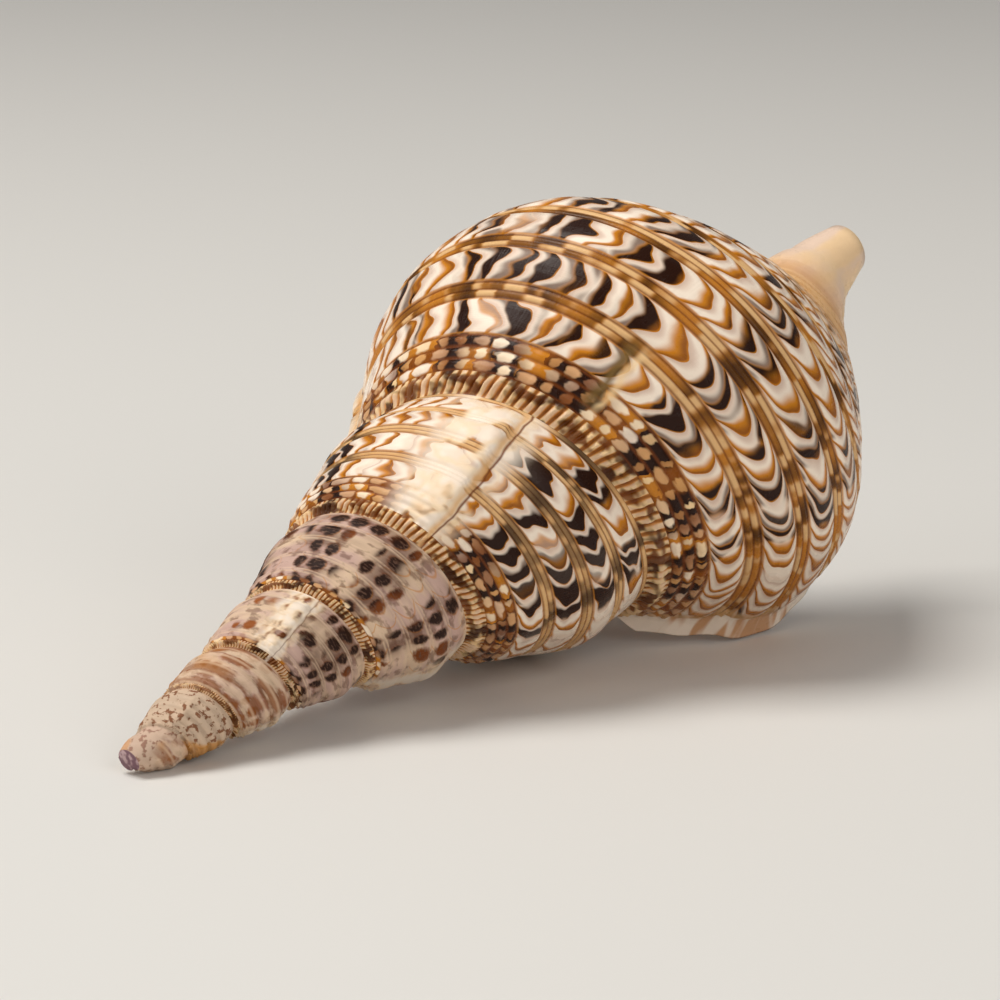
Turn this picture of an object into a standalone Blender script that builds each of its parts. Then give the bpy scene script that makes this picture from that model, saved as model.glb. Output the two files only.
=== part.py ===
"""A triton sea shell, lying on its aperture side.

The shell is one solid. Its surface is a strip that winds round a coiling axis: the lower edge of
each turn is the upper edge of the next one, along the suture. The last turn runs on over the base
to the end of the canal, and the step that it leaves at the lip is the opening of a chamber that
winds back into the shell.

Places on the strip are given in shell lengths, as (along, radius) from the apex, and turned into
metres at the end. Turn 0 is the point of the last suture that faces up. Turns grow towards the lip.
"""

import math

import bmesh
import bpy
import numpy as np
from mathutils import Vector
from mathutils.geometry import tessellate_polygon

# Real size, how the shell lies, and where the middle of its tip is.
SHELL_LENGTH = 0.3037
AXIS_RISE = math.radians(19.08)
ROLL = math.radians(-0.46)
TIP = (-0.1434, 0.0032, 0.0036)

# The winding: steps in one turn, where the strip starts, where the lip ends it, and its slant.
STEPS = 32
FIRST_TURN = -6.75
LIP_TURN = 0.46875
LIP_SLANT = 0.045

# The suture: distance from the apex and radius at these turns.
SUTURE_TURNS = (-7.0, -6.0, -5.0, -4.0, -3.0, -2.0, -1.0, 0.0, 0.5, 1.0)
SUTURE_ALONG = (-0.032, -0.020, 0.0315, 0.0800, 0.1385, 0.2150, 0.3030, 0.4582, 0.5818, 0.7345)
SUTURE_RADIUS = (0.001, 0.0025, 0.0185, 0.0283, 0.0372, 0.0526, 0.0824, 0.1229, 0.1732, 0.2249)

# How far a whorl swells from the straight line between its sutures, as a part of that line.
SWELL_PLACES = (0.0, 0.2, 0.45, 0.7, 0.88, 1.0)
SWELL = (0.0, 0.065, 0.085, 0.100, 0.036, 0.0)

# The body whorl's outline from its suture, over the shoulder and the base, to the canal's root.
BODY = (
    (0.0, 0.0),
    (0.077, 0.054),
    (0.133, 0.091),
    (0.229, 0.090),
    (0.294, 0.050),
    (0.374, -0.029),
    (0.412, -0.082),
)
BODY_GROWTH = -0.36
BODY_STARTS = (-0.53125, -0.36)

# The columella, from the suture at the lip to the end of the canal.
COLUMELLA = (
    (0.572, 0.169),
    (0.598, 0.128),
    (0.636, 0.088),
    (0.680, 0.062),
    (0.740, 0.048),
    (0.810, 0.041),
    (0.900, 0.032),
    (1.000, 0.014),
)

# The canal: its end, its radius there at the columella and at the lip, its neck as parts of the way
# from the base, and how far it bends.
CANAL_END = 1.0
CANAL_RADIUS = (0.017, 0.030)
NECK_ALONG = 0.55
NECK_ACROSS = 0.75
CANAL_BEND = (0.016, 0.046)
BEND_STARTS = 0.78
CANAL_ROWS = 5

# Spiral cords: rows of the strip by their distance from the suture, with their part of the relief.
OUTLINE_LENGTH = 0.5065
PLEAT_ROWS = ((0.0, 0.0), (0.012, 0.9), (0.026, -0.3), (0.040, 0.6), (0.056, -0.5))
FIRST_CORD = 0.082
CORD_SPACING = 0.0545
CORD_HALF_WIDTH = 0.016
CORDS = 8
CORDS_ON_SPIRE = 4
CORD_HEIGHT = 0.0030
PLEAT_HEIGHT = 0.0035
RELIEF_GROWTH = 0.7

# Varices, ridges left by earlier lips two thirds of a turn apart, and the bump that the shell lies
# on, each with its height and its half width in turns.
VARICES = 5
LAST_VARIX = -0.23
VARIX_SPACING = 2.0 / 3.0
VARIX_HEIGHT = 0.009
VARIX_WIDTH = 0.03
BELLY_TURN = -0.43
BELLY_HEIGHT = 0.015
BELLY_WIDTH = 0.09

# How many rows a ridge takes to fade in from the suture, and out at the canal and the next suture.
RIDGE_STARTS = 4.0
RIDGE_ENDS = 8.0
RIDGE_ENDS_ON_SPIRE = 3.0

# The lip's flare, the slant of its edge, and the flange round it as (turns past the lip, how far it
# stands out), outside and inside, with the rows over which the flange fades at its two ends.
LIP_FLARE = 0.004
FLARE_TURNS = 0.09
SLANT_TURNS = 0.25
SLANT_ROWS = 8.0
FLANGE = ((0.006, 0.006), (0.012, 0.016), (0.011, 0.012))
FLANGE_STARTS = 3.0
FLANGE_ENDS = 16.0

# The chamber: its wall, which gets thinner along the canal, the turns behind the lip at which its
# sections stand, and how many of them reach the end of the canal.
WALL = 0.0125
WALL_GROWTH = 0.5
WALL_STARTS = 3.0 * WALL
CANAL_THINNING = 0.35
CANAL_THINS_FROM = 0.85
SECTIONS = (0.008, 0.02, 0.05, 0.10, 0.16, 0.23, 0.31, 0.40, 0.49, 0.59, 0.70, 0.82, 0.95)
OPEN_SECTIONS = 4
BRIDGE_POINTS = 3

SHELL_COLOUR = (0.62, 0.45, 0.30, 1.0)


def smooth_step(x, low, high):
    u = np.clip((np.asarray(x, float) - low) / (high - low), 0.0, 1.0)
    return u * u * (3.0 - 2.0 * u)


def curve_through(x, places, values):
    """The smooth curve through the values at the given places, read at x."""
    places = np.asarray(places, float)
    values = np.asarray(values, float)
    slopes = np.gradient(values, places, axis=0)
    x = np.asarray(x, float)
    i = np.clip(np.searchsorted(places, x, side="right") - 1, 0, len(places) - 2)
    gap = places[i + 1] - places[i]
    u = (x - places[i]) / gap
    if values.ndim > 1:
        gap = gap[..., None]
        u = u[..., None]
    start = values[i] * (2 * u**3 - 3 * u**2 + 1) + slopes[i] * gap * (u**3 - 2 * u**2 + u)
    end = values[i + 1] * (3 * u**2 - 2 * u**3) + slopes[i + 1] * gap * (u**3 - u**2)
    return start + end


def lengths_along(points):
    return np.concatenate([[0.0], np.cumsum(np.linalg.norm(np.diff(points, axis=0), axis=1))])


def points_at(points, lengths):
    """Points of a line of short straight pieces, at the given lengths along it."""
    marks = lengths_along(points)
    return np.stack([np.interp(lengths, marks, points[:, k]) for k in range(2)], axis=1)


def along_outline(points, fractions):
    """Points of a smooth outline, at the given fractions of its length."""
    points = np.asarray(points, float)
    marks = lengths_along(points)
    return curve_through(fractions, marks / marks[-1], points)


def suture(turn):
    along = curve_through(turn, SUTURE_TURNS, SUTURE_ALONG)
    radius = np.exp(curve_through(turn, SUTURE_TURNS, np.log(SUTURE_RADIUS)))
    return np.array([along, radius])


def cord_rows():
    rows = list(PLEAT_ROWS)
    for cord in range(CORDS):
        centre = FIRST_CORD + CORD_SPACING * cord
        rows.append((centre - CORD_HALF_WIDTH, 0.5))
        rows.append((centre + CORD_HALF_WIDTH, 0.5))
        rows.append((centre + CORD_SPACING / 2, -0.5))
    rows[-1] = (OUTLINE_LENGTH, -0.5)
    return np.array(rows)


ROWS = cord_rows()
WHORL_ROW = len(PLEAT_ROWS) - 1 + 3 * CORDS_ON_SPIRE
LAST_ROW = len(ROWS) - 1 + CANAL_ROWS
LAST_STEP = round((LIP_TURN - FIRST_TURN) * STEPS)
JOIN_STEP = LAST_STEP - STEPS


def whorl_outline(turn):
    """A whorl of the spire at one turn, from its suture to the next one."""
    upper = suture(turn)
    chord = suture(turn + 1.0) - upper
    out = np.array([-chord[1], chord[0]])
    share = ROWS[: WHORL_ROW + 1, 0] / ROWS[WHORL_ROW, 0]
    return upper + share[:, None] * chord + curve_through(share, SWELL_PLACES, SWELL)[:, None] * out


def columella_outline(turn):
    """The base and columella where the last turn starts, from the suture to the canal's end."""
    fractions = np.linspace(0.0, 1.0, LAST_ROW - WHORL_ROW + 1)
    shift = suture(turn + 1.0) - suture(LIP_TURN)
    return along_outline(COLUMELLA, fractions) + shift * (1.0 - fractions[:, None])


def canal_outline(start, root, end):
    """The canal from the base to its end, in even rows after the root."""
    neck = root + (end - root) * (NECK_ALONG, NECK_ACROSS)
    line = along_outline((start, root, neck, end), np.linspace(0.0, 1.0, 8 * CANAL_ROWS))
    first = np.linalg.norm(root - start)
    return points_at(line, np.linspace(first, lengths_along(line)[-1], CANAL_ROWS + 1)[1:])


def body_outline(turn):
    """The body whorl at one turn, from its suture to the end of the canal."""
    upper = suture(turn)
    size = (upper[1] / suture(0.0)[1]) ** BODY_GROWTH
    points = upper + along_outline(BODY, ROWS[:, 0] / OUTLINE_LENGTH) * size
    progress = turn - (LIP_TURN - 1.0)
    end = np.array([CANAL_END, CANAL_RADIUS[0] + (CANAL_RADIUS[1] - CANAL_RADIUS[0]) * progress])
    return np.vstack([points, canal_outline(points[-2], points[-1], end)])


def outline(turn):
    """The strip's outline at one turn, from row 0 to the last row that it has there."""
    whorl = whorl_outline(turn)
    if turn < LIP_TURN - 1.0 - 1e-6:
        return whorl
    early = np.vstack([whorl, columella_outline(turn)[1:]])
    return early + (body_outline(turn) - early) * smooth_step(turn, *BODY_STARTS)


def outward(points):
    """Unit normals of an outline, away from the shell's axis."""
    along = np.gradient(points, axis=0)
    out = np.stack([-along[:, 1], along[:, 0]], axis=1)
    return out / np.linalg.norm(out, axis=1)[:, None]


def fade(rows, starts, ends):
    """A share for each row that rises from 0 at the first one and falls to 0 at the last one."""
    row = np.arange(rows)
    return np.clip(row / starts, 0.0, 1.0) * np.clip((rows - 1 - row) / ends, 0.0, 1.0)


def ridges(turn):
    """The height of the varices and of the belly's bump at one turn."""
    height = BELLY_HEIGHT * math.exp(-(((turn - BELLY_TURN) / BELLY_WIDTH) ** 2))
    for number in range(VARICES):
        past = turn - LAST_VARIX + number * VARIX_SPACING
        height += VARIX_HEIGHT * math.exp(-((past / VARIX_WIDTH) ** 2))
    return height


def relief(turn, step, rows):
    """How far each row stands out: cords, pleats below the suture, varices and the flared lip."""
    size = (suture(turn)[1] / suture(0.0)[1]) ** RELIEF_GROWTH
    on_body = rows > WHORL_ROW + 1
    height = np.zeros(rows)
    corded = min(rows, len(ROWS))
    height[:corded] = ROWS[:corded, 1] * CORD_HEIGHT * size
    height[1] += PLEAT_HEIGHT * size * (0.5 if step % 2 else -0.5)
    flare = max(turn - LIP_TURN + FLARE_TURNS, 0.0) / FLARE_TURNS
    share = fade(rows, RIDGE_STARTS, RIDGE_ENDS if on_body else RIDGE_ENDS_ON_SPIRE)
    height += share * (ridges(turn) * size + LIP_FLARE * flare**2)
    if on_body:
        height[WHORL_ROW:] *= smooth_step(turn, *BODY_STARTS)
    else:
        height[WHORL_ROW] = 0.0
    return height


def strip_points(turn, step):
    points = outline(turn)
    return points + outward(points) * relief(turn, step, len(points))[:, None]


def shell_axes():
    along = Vector((math.cos(AXIS_RISE), 0.0, math.sin(AXIS_RISE)))
    up = Vector((-math.sin(AXIS_RISE), 0.0, math.cos(AXIS_RISE)))
    side = Vector((0.0, -1.0, 0.0))
    top = up * math.cos(ROLL) + side * math.sin(ROLL)
    right = side * math.cos(ROLL) - up * math.sin(ROLL)
    return np.array(along), np.array(top), np.array(right)


def place(points, turns):
    """Outline points set round the axis at the given turns, in metres."""
    along, top, right = shell_axes()
    angle = 2.0 * np.pi * np.asarray(turns, float)
    bend = np.clip((points[:, 0] - BEND_STARTS) / (CANAL_END - BEND_STARTS), 0.0, None) ** 2
    across = points[:, 1] * np.cos(angle) + CANAL_BEND[0] * bend
    aside = points[:, 1] * np.sin(angle) + CANAL_BEND[1] * bend
    spots = points[:, :1] * along + across[:, None] * top + aside[:, None] * right
    return spots * SHELL_LENGTH + TIP


def row_turns(turn, rows):
    """The turn of each row: near the lip the rows past the suture stand further back."""
    near = smooth_step(turn, LIP_TURN - SLANT_TURNS, LIP_TURN)
    return turn - LIP_SLANT * near * np.clip(np.arange(rows) / SLANT_ROWS, 0.0, 1.0)


def build_points():
    """Every point of the strip, and its number by (step, row)."""
    points = []
    index = {}
    for step in range(LAST_STEP + 1):
        turn = FIRST_TURN + step / STEPS
        outline_points = strip_points(turn, step)
        for row, spot in enumerate(place(outline_points, row_turns(turn, len(outline_points)))):
            if row == WHORL_ROW and step <= JOIN_STEP:
                continue
            index[step, row] = len(points)
            points.append(spot)
    for step in range(JOIN_STEP + 1):
        index[step, WHORL_ROW] = index[step + STEPS, 0]
    return points, index


def join_rows(first, second):
    """Faces between two rows of points. Where they share a point, the face is a triangle."""
    corners = [(first[k], first[k + 1], second[k + 1], second[k]) for k in range(len(first) - 1)]
    return [tuple(dict.fromkeys(face)) for face in corners]


def fan(points, rim):
    """Triangles from the middle of a rim to its edges."""
    centre = len(points)
    points.append(np.mean([points[i] for i in rim], axis=0))
    return [(centre, rim[k], rim[(k + 1) % len(rim)]) for k in range(len(rim))]


def build_strip(index):
    faces = []
    for step in range(LAST_STEP):
        rows = LAST_ROW if step >= JOIN_STEP else WHORL_ROW
        near = [index[step, row] for row in range(rows + 1)]
        far = [index[step + 1, row] for row in range(rows + 1)]
        faces += join_rows(near, far)
    return faces


def add_points(points, spots):
    first = len(points)
    points.extend(spots)
    return list(range(first, len(points)))


def inset(outer, inner, size):
    """The outer wall's inner face, moved in by the wall, and towards the middle at the suture."""
    to_middle = np.vstack([outer, inner]).mean(axis=0) - outer
    to_middle /= np.linalg.norm(to_middle, axis=1)[:, None]
    share = smooth_step(lengths_along(outer), 0.0, WALL_STARTS)[:, None]
    way = to_middle + (-outward(outer) - to_middle) * share
    way /= np.linalg.norm(way, axis=1)[:, None]
    thinning = CANAL_THINNING * smooth_step(outer[:, 0], CANAL_THINS_FROM, CANAL_END)
    wall = WALL * size**WALL_GROWTH * (1.0 - thinning)
    moved = outer + way * wall[:, None]
    moved[-1, 0] = outer[-1, 0]
    return moved


def chamber_section(depth, reaches_end):
    """The chamber's edge at one depth behind the lip: its outer wall, then its columella side."""
    turn = LIP_TURN - depth
    start = suture(turn)
    lip = suture(LIP_TURN)
    size = start[1] / lip[1]
    end = CANAL_END if reaches_end else start[0] + (CANAL_END - lip[0]) * size
    wall = outline(turn)
    reach = np.interp(end, wall[:, 0], lengths_along(wall))
    lip_lengths = lengths_along(outline(LIP_TURN))
    outer = points_at(wall, lip_lengths / lip_lengths[-1] * reach)
    inner = along_outline(COLUMELLA, np.linspace(0.0, 1.0, LAST_ROW - WHORL_ROW + 1)) - lip
    inner *= ((end - start[0]) / (CANAL_END - lip[0]), size)
    inner += start
    return inset(outer, inner, size), inner[1:]


def build_flange(points, index):
    """The lip's flared edge, which fades out at the suture and at the canal's end."""
    wall = strip_points(LIP_TURN, LAST_STEP)
    share = fade(len(wall), FLANGE_STARTS, FLANGE_ENDS)
    edge = [index[LAST_STEP, row] for row in range(LAST_ROW + 1)]
    faces = []
    for turns, reach in FLANGE:
        flared = wall + outward(wall) * (reach * share)[:, None]
        spots = place(flared, row_turns(LIP_TURN, len(wall)) + turns * share)
        new_edge = [edge[0]] + add_points(points, spots[1:-1]) + [edge[-1]]
        faces += join_rows(edge, new_edge)
        edge = new_edge
    return faces, edge


def add_bridge(points, start, end):
    """Points between the two sides of a section, where the canal no longer opens it."""
    shares = np.linspace(0.0, 1.0, BRIDGE_POINTS + 2)[1:-1]
    return add_points(points, [points[start] + (points[end] - points[start]) * share for share in shares])


def build_chamber(points, index, outer):
    """The chamber, section by section, with the rim of the canal's end that it opens through."""
    inner = [index[JOIN_STEP, row] for row in range(WHORL_ROW + 1, LAST_ROW + 1)]
    rim = [index[step, LAST_ROW] for step in range(JOIN_STEP, LAST_STEP + 1)]
    faces = []
    notch_inner = []
    bridge = []
    for number, depth in enumerate(SECTIONS):
        wall, columella = chamber_section(depth, number < OPEN_SECTIONS)
        turns = row_turns(LIP_TURN, len(wall)) - depth
        new_outer = add_points(points, place(wall, turns))
        new_inner = add_points(points, place(columella, np.full(len(columella), LIP_TURN - depth)))
        faces += join_rows(outer, new_outer)
        faces += join_rows([new_outer[0]] + new_inner, [outer[0]] + inner)
        if number < OPEN_SECTIONS:
            rim.append(new_outer[-1])
            notch_inner.append(new_inner[-1])
        if number >= OPEN_SECTIONS - 1:
            new_bridge = [new_outer[-1]] + add_bridge(points, new_outer[-1], new_inner[-1]) + [new_inner[-1]]
            if bridge:
                faces += join_rows(bridge, new_bridge)
            else:
                rim += new_bridge[1:-1] + notch_inner[::-1]
            bridge = new_bridge
        outer, inner = new_outer, new_inner
    faces += fan(points, outer + bridge[1:-1] + inner[::-1])
    corners = [Vector(points[i]) for i in rim]
    faces += [tuple(rim[k] for k in corner) for corner in tessellate_polygon([corners])]
    return faces


def cut_apex(mesh_data):
    """The tip is broken off flat."""
    along, _, _ = shell_axes()
    everything = mesh_data.verts[:] + mesh_data.edges[:] + mesh_data.faces[:]
    bmesh.ops.bisect_plane(mesh_data, geom=everything, plane_co=TIP, plane_no=along, clear_inner=True)
    rim = [edge for edge in mesh_data.edges if edge.is_boundary]
    bmesh.ops.holes_fill(mesh_data, edges=rim, sides=0)


def build_shell():
    points, index = build_points()
    start = [index[step, 0] for step in range(STEPS)]
    start += [index[0, row] for row in range(WHORL_ROW, 0, -1)]
    faces, lip = build_flange(points, index)
    faces += build_strip(index) + fan(points, start) + build_chamber(points, index, lip)
    mesh = bpy.data.meshes.new("shell")
    mesh.from_pydata([tuple(spot) for spot in points], [], faces)
    mesh_data = bmesh.new()
    mesh_data.from_mesh(mesh)
    cut_apex(mesh_data)
    bmesh.ops.recalc_face_normals(mesh_data, faces=mesh_data.faces[:])
    mesh_data.to_mesh(mesh)
    mesh_data.free()
    return mesh


def shell_material():
    material = bpy.data.materials.new("shell")
    material.use_nodes = True
    shader = material.node_tree.nodes["Principled BSDF"]
    shader.inputs["Base Color"].default_value = SHELL_COLOUR
    shader.inputs["Roughness"].default_value = 0.3
    return material


def clear_scene():
    for thing in list(bpy.data.objects):
        bpy.data.objects.remove(thing)


def main():
    clear_scene()
    collection = bpy.data.collections.new("triton_shell")
    bpy.context.scene.collection.children.link(collection)
    mesh = build_shell()
    mesh.materials.append(shell_material())
    mesh.shade_smooth()
    shell = bpy.data.objects.new("shell", mesh)
    collection.objects.link(shell)


main()
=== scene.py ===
"""The triton shell's looks: its surface at a fine step, its markings, a floor, lights and a camera.

The surface follows the solid's own rules: a strip wound round the coiling axis, whose lower edge is
the next turn's upper edge. A place on the strip is a turn and a distance from the suture, in shell
lengths. The UV map "spiral" keeps both, and the relief and the markings are drawn in them.
"""

import math

import bmesh
import bpy
import numpy as np
from mathutils import Matrix, Vector
from mathutils.geometry import tessellate_polygon


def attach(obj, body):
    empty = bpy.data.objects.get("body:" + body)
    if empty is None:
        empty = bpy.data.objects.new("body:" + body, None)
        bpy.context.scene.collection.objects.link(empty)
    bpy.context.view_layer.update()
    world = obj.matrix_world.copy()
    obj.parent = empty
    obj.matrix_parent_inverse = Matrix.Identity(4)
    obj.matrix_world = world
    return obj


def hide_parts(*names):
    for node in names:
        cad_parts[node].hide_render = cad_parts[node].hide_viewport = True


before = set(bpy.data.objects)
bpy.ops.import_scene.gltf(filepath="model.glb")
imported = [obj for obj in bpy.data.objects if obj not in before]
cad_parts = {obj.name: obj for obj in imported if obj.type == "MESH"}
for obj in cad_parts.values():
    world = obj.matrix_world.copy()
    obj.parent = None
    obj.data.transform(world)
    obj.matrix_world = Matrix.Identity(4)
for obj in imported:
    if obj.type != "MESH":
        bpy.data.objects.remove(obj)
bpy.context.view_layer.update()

# Real size, how the shell lies, and where the middle of its tip is.
SHELL_LENGTH = 0.3037
AXIS_RISE = math.radians(19.08)
ROLL = math.radians(-0.46)
TIP = (-0.1434, 0.0032, 0.0036)

# The winding: where the lip ends the strip, and the slant of the lip's edge.
LIP_TURN = 0.46875
LIP_SLANT = 0.045
SLANT_TURNS = 0.25
SLANT_ROWS = 8.0

# The suture: distance from the apex and radius at these turns.
SUTURE_TURNS = (-7.0, -6.0, -5.0, -4.0, -3.0, -2.0, -1.0, 0.0, 0.5, 1.0)
SUTURE_ALONG = (-0.032, -0.020, 0.0315, 0.0800, 0.1385, 0.2150, 0.3030, 0.4582, 0.5818, 0.7345)
SUTURE_RADIUS = (0.001, 0.0025, 0.0185, 0.0283, 0.0372, 0.0526, 0.0824, 0.1229, 0.1732, 0.2249)

# How far a whorl swells from the straight line between its sutures, as a part of that line.
SWELL_PLACES = (0.0, 0.2, 0.45, 0.7, 0.88, 1.0)
SWELL = (0.0, 0.065, 0.085, 0.100, 0.036, 0.0)

# The body whorl's outline from its suture, over the shoulder and the base, to the canal's root.
BODY = (
    (0.0, 0.0),
    (0.077, 0.054),
    (0.133, 0.091),
    (0.229, 0.090),
    (0.294, 0.050),
    (0.374, -0.029),
    (0.412, -0.082),
)
BODY_GROWTH = -0.36
BODY_STARTS = (-0.53125, -0.36)

# The columella, from the suture at the lip to the end of the canal.
COLUMELLA = (
    (0.572, 0.169),
    (0.598, 0.128),
    (0.636, 0.088),
    (0.680, 0.062),
    (0.740, 0.048),
    (0.810, 0.041),
    (0.900, 0.032),
    (1.000, 0.014),
)

# The canal: its end, its radius there at the columella and at the lip, its neck, and its bend.
CANAL_END = 1.0
CANAL_RADIUS = (0.017, 0.030)
NECK_ALONG = 0.55
NECK_ACROSS = 0.75
CANAL_BEND = (0.016, 0.046)
BEND_STARTS = 0.78
CANAL_ROWS = 5

# The solid's rows, by their distance from the suture. A row of the fine mesh is a number between
# theirs, such as 4.5, so both have the same outline.
OUTLINE_LENGTH = 0.5065
PLEAT_ROWS = (0.0, 0.012, 0.026, 0.040, 0.056)
FIRST_CORD = 0.082
CORD_SPACING = 0.0545
CORD_HALF_WIDTH = 0.016
CORDS = 8
CORDS_ON_SPIRE = 4

# Relief: its height in metres on the body whorl, how it grows with the shell, how much stronger it
# is on the old whorls, how many rows from the end it fades, and the cords and pleats below the suture.
CORD_HEIGHT = 0.0009
RIBLET_HEIGHT = 0.0006
SMALL_CORD_HEIGHT = 0.0010
PLEAT_HEIGHT = 0.0017
UNEVENNESS = 0.0004
RELIEF_GROWTH = 0.7
OLD_GAIN = 1.2
OLD_GAIN_FROM = (-1.6, -3.2)
COVER_ENDS = 1.5
PLEATS_IN_TURN = 93.0
PLEAT_MIDDLE = 0.0125
PLEAT_END = 0.0245
SMALL_CORD_WIDTH = 0.0125
SMALL_CORDS = 3
SMALL_CORD_ROWS = 5
SMALL_CORDS_END = (0.060, 0.066)

# Across a cord, from its middle (0) to the middle of the gap (1): its flank, and the riblet.
CORD_FLANK = (0.72, 0.55)
RIBLET_PLACE = 0.86
RIBLET_HALF_WIDTH = 0.10

# Varices and the belly's bump, in metres and turns.
LAST_CRACK = -0.178
VARIX_SPACING = 2.0 / 3.0
VARIX_HEIGHT = 0.0027
VARIX_WIDTH = 0.034
VARIX_FRONT = 0.006
VARIX_CREST = -0.012
BELLY_TURN = -0.43
BELLY_HEIGHT = 0.015
BELLY_WIDTH = 0.09
RIDGE_STARTS = 4.0
RIDGE_ENDS = 8.0
RIDGE_ENDS_ON_SPIRE = 3.0

# The lip's flare and flange, as (turns past the lip, how far it stands out), outside to inside.
LIP_FLARE = 0.004
FLARE_TURNS = 0.09
FLANGE = (
    (0.003, 0.002),
    (0.006, 0.006),
    (0.0095, 0.011),
    (0.0118, 0.0150),
    (0.0124, 0.0160),
    (0.0122, 0.0150),
    (0.011, 0.011),
    (0.006, 0.003),
    (0.000, -0.005),
)
FLANGE_STARTS = 3.0
FLANGE_ENDS = 16.0
FLANGE_WAVE = 0.07

# The chamber: its wall, the turns behind the lip at which its sections stand, how far back the
# canal is open, and from where on the sections are as long as the whorl has room for.
WALL = 0.0125
WALL_GROWTH = 0.5
WALL_STARTS = 3.0 * WALL
CANAL_THINNING = 0.35
CANAL_THINS_FROM = 0.85
SECTIONS = (
    0.008, 0.012, 0.016, 0.020, 0.026, 0.034, 0.05, 0.07, 0.10, 0.13, 0.16,
    0.195, 0.23, 0.27, 0.31, 0.355, 0.40, 0.45, 0.50, 0.55, 0.60, 0.65, 0.70, 0.75, 0.80,
)
OPEN_UNTIL = 0.10
SHRUNK_FROM = 0.20
BRIDGE_POINTS = 3

# Teeth inside the lip: how much thicker the wall is there, how far behind the lip they are and
# reach, and their place and half width between a gap's middle (0) and a cord's (0.5).
TOOTH_HEIGHT = 0.30
TOOTH_DEPTH = 0.017
TOOTH_REACH = 0.011
TOOTH_PLACE = 0.16
TOOTH_HALF_WIDTH = 0.09

# The columella's ridges: how many, how high, their slant, and where along it they start and stop.
FOLDS = 15.0
FOLD_HEIGHT = 0.0022
FOLD_SLANT = 2.5
FOLDS_START = (0.0, 0.12)
FOLDS_STOP = (0.6, 0.85)

# The fine mesh: ticks in one turn, and from each tick on the ticks between two columns of points
# near the suture and on the rest of the whorl. Columns before THIN_TICK have every second row.
TICKS = 672
LEVELS = ((-4536, 4, 12), (-2376, 2, 6), (-1032, 1, 3))
THIN_TICK = -1032
PLEAT_DISTANCES = (0.0, 0.0025, 0.006, 0.010, 0.014, 0.018, 0.0215, PLEAT_END)
CORD_OFFSETS = (
    -0.0175, -0.0150, -0.0080, 0.0, 0.0080, 0.0150, 0.0175, 0.0200,
    0.0218, 0.0234, 0.0253, 0.02725, 0.0292, 0.0311, 0.0327, 0.0345,
)
LAST_CORD_ROW = OUTLINE_LENGTH - 0.002
CANAL_FINE_ROWS = 14

# In the UV map the columella's distances have this added, and the chamber's end is at one place.
COLUMELLA_SHIFT = 2.0
END_PLACE = 1.2

# The shell's material slots.
OUTSIDE_SLOT, INSIDE_SLOT, TIP_SLOT = range(3)


def smooth_step(x, low, high):
    u = np.clip((np.asarray(x, float) - low) / (high - low), 0.0, 1.0)
    return u * u * (3.0 - 2.0 * u)


def curve_through(x, places, values):
    """The smooth curve through the values at the given places, read at x."""
    places = np.asarray(places, float)
    values = np.asarray(values, float)
    slopes = np.gradient(values, places, axis=0)
    x = np.asarray(x, float)
    i = np.clip(np.searchsorted(places, x, side="right") - 1, 0, len(places) - 2)
    gap = places[i + 1] - places[i]
    u = (x - places[i]) / gap
    if values.ndim > 1:
        gap = gap[..., None]
        u = u[..., None]
    start = values[i] * (2 * u**3 - 3 * u**2 + 1) + slopes[i] * gap * (u**3 - 2 * u**2 + u)
    end = values[i + 1] * (3 * u**2 - 2 * u**3) + slopes[i + 1] * gap * (u**3 - u**2)
    return start + end


def lengths_along(points):
    """The length of a line of short straight pieces up to each of its points."""
    return np.concatenate([[0.0], np.cumsum(np.linalg.norm(np.diff(points, axis=0), axis=1))])


def points_at(points, lengths):
    """Points of a line of short straight pieces, at the given lengths along it."""
    marks = lengths_along(points)
    return np.stack([np.interp(lengths, marks, points[:, k]) for k in range(2)], axis=1)


def along_outline(points, fractions):
    """Points of a smooth outline, at the given fractions of its length."""
    points = np.asarray(points, float)
    marks = lengths_along(points)
    return curve_through(fractions, marks / marks[-1], points)


def suture(turn):
    """The suture at a turn: how far from the apex, and its radius, in shell lengths."""
    along = curve_through(turn, SUTURE_TURNS, SUTURE_ALONG)
    radius = np.exp(curve_through(turn, SUTURE_TURNS, np.log(SUTURE_RADIUS)))
    return np.array([along, radius])


def growth_at(turn, power):
    """The radius at the suture against the one at turn 0, to a power."""
    return (suture(turn)[1] / suture(0.0)[1]) ** power


def solid_rows():
    """The distances from the suture of the solid's rows."""
    rows = list(PLEAT_ROWS)
    for cord in range(CORDS):
        centre = FIRST_CORD + CORD_SPACING * cord
        rows += [centre - CORD_HALF_WIDTH, centre + CORD_HALF_WIDTH, centre + CORD_SPACING / 2]
    rows[-1] = OUTLINE_LENGTH
    return np.array(rows)


SOLID_ROWS = solid_rows()
WHORL_ROW = len(PLEAT_ROWS) - 1 + 3 * CORDS_ON_SPIRE
ROOT_ROW = len(SOLID_ROWS) - 1
LAST_ROW = ROOT_ROW + CANAL_ROWS
WHORL_END = SOLID_ROWS[WHORL_ROW]


def fine_distances():
    """The distances from the suture of the fine mesh's rows, as far as the canal's root."""
    rows = list(PLEAT_DISTANCES)
    steps = np.arange(1, SMALL_CORD_ROWS * SMALL_CORDS + 1)
    rows += list(PLEAT_END + SMALL_CORD_WIDTH * steps / SMALL_CORD_ROWS)
    for cord in range(CORDS):
        centre = FIRST_CORD + CORD_SPACING * cord
        rows += [centre + offset for offset in CORD_OFFSETS if centre + offset < LAST_CORD_ROW]
    return np.array(rows + [OUTLINE_LENGTH])


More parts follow.
